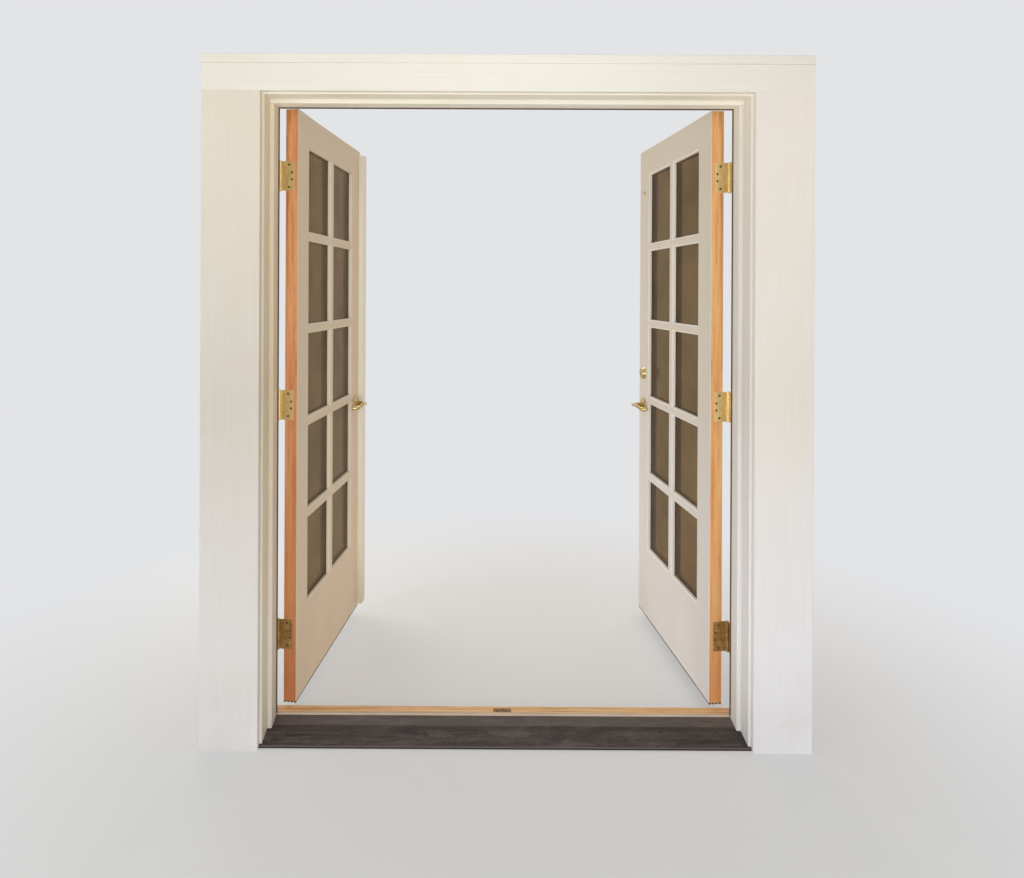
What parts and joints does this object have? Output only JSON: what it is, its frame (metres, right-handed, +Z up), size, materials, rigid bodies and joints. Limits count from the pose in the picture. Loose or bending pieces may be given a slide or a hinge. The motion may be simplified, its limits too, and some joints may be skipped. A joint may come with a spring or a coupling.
{
  "type": "french doors",
  "caption": "Glazed wooden doors with glazing bars, hinged on both jambs of a cased frame and opening inwards, with lever handles, latch, deadbolt and flush bolts in the astragal.",
  "frame": {"origin": "underside of the sill, midway between the jambs, in line with the jambs' outside edge", "axes": "+X across the opening to the right as seen from outside, +Y into the house, +Z up"},
  "size_m": [1.936, 0.9988, 2.2005],
  "materials": {
    "frame_paint": "satin paint",
    "leaf_paint": "satin paint",
    "sill_stain": "weathered dark stain",
    "threshold_strip": "worn satin",
    "seal_rubber": "matt",
    "hinge_brass": "satin, tarnished",
    "lock_brass": "polished",
    "pane_glass": "clear"
  },
  "bodies": {
    "frame": {"left_jamb": "frame_paint", "right_jamb": "frame_paint", "head_jamb": "frame_paint", "left_stop": "frame_paint", "right_stop": "frame_paint", "head_stop": "frame_paint", "left_casing": "frame_paint", "right_casing": "frame_paint", "head_casing": "frame_paint", "head_cap": "frame_paint", "sill": "sill_stain", "threshold": "threshold_strip", "weatherstrip": "seal_rubber", "frame_hinges": "hinge_brass", "hinge_pins": "hinge_brass", "frame_hinge_screws": "hinge_brass", "bolt_strikes": "lock_brass"},
    "passive_leaf": {"left_hinge_stile": "leaf_paint", "left_meeting_stile": "leaf_paint", "left_top_rail": "leaf_paint", "left_bottom_rail": "leaf_paint", "left_upright_muntin": "leaf_paint", "left_cross_muntins": "leaf_paint", "left_panes": "pane_glass", "left_glazing_beads": "leaf_paint", "left_bottom_seal": "seal_rubber", "left_leaf_hinges": "hinge_brass", "left_hinge_screws": "hinge_brass", "astragal": "leaf_paint", "astragal_seal": "seal_rubber", "lock_strikes": "lock_brass", "left_roses": "lock_brass", "left_outside_lever": "lock_brass", "left_inside_lever": "lock_brass"},
    "active_leaf": {"right_hinge_stile": "leaf_paint", "right_meeting_stile": "leaf_paint", "right_top_rail": "leaf_paint", "right_bottom_rail": "leaf_paint", "right_upright_muntin": "leaf_paint", "right_cross_muntins": "leaf_paint", "right_panes": "pane_glass", "right_glazing_beads": "leaf_paint", "right_bottom_seal": "seal_rubber", "right_leaf_hinges": "hinge_brass", "right_hinge_screws": "hinge_brass", "outside_rose": "lock_brass", "inside_rose": "lock_brass", "latch_case": "lock_brass", "deadbolt_case": "lock_brass", "deadbolt_cylinder": "lock_brass", "deadbolt_rose": "lock_brass", "keyhole_plate": "lock_brass"},
    "lever_set": {"outside_lever": "lock_brass", "inside_lever": "lock_brass", "lever_spindle": "lock_brass"},
    "latch": {"latch_bolt": "lock_brass"},
    "thumb": {"thumb_turn": "lock_brass"},
    "deadbolt_bar": {"deadbolt": "lock_brass"},
    "top_bolt": {"top_flush_bolt": "lock_brass"},
    "bottom_bolt": {"bottom_flush_bolt": "lock_brass"}
  },
  "joints": [
    {"name": "left_leaf_swing", "type": "hinge", "parent": "frame", "child": "passive_leaf", "pos_m": [-0.7725, 0.181, 0], "axis": [0, 0, 1], "range_deg": [-83.2, 86.8]},
    {"name": "right_leaf_swing", "type": "hinge", "parent": "frame", "child": "active_leaf", "pos_m": [0.7725, 0.181, 0], "axis": [0, 0, -1], "range_deg": [-85.4, 84.6]},
    {"name": "lever_turn", "type": "hinge", "parent": "active_leaf", "child": "lever_set", "pos_m": [0.67397, 0.87885, 0.956], "axis": [0.9968, 0.0802, 0], "range_deg": [0, 45], "stiffness_Nm_per_rad": 0.8, "springref_deg": -34.38},
    {"name": "latch_slide", "type": "slide", "parent": "active_leaf", "child": "latch", "axis": [0.0802, -0.9968, 0], "range_m": [0, 0.0115]},
    {"name": "deadbolt_turn", "type": "hinge", "parent": "active_leaf", "child": "thumb", "pos_m": [0.67397, 0.87885, 1.0955], "axis": [0.9968, 0.0802, 0], "range_deg": [0, 90]},
    {"name": "deadbolt_slide", "type": "slide", "parent": "active_leaf", "child": "deadbolt_bar", "axis": [-0.0802, 0.9968, 0], "range_m": [0, 0.025]},
    {"name": "top_bolt_slide", "type": "slide", "parent": "passive_leaf", "child": "top_bolt", "axis": [0, 0, 1], "range_m": [0, 0.016]},
    {"name": "bottom_bolt_slide", "type": "slide", "parent": "passive_leaf", "child": "bottom_bolt", "axis": [0, 0, -1], "range_m": [0, 0.016]}
  ],
  "couplings": [
    {"joint": "latch_slide", "follows": "lever_turn", "m_per_rad": 0.014642},
    {"joint": "deadbolt_turn", "follows": "deadbolt_slide", "rad_per_m": 62.832}
  ]
}
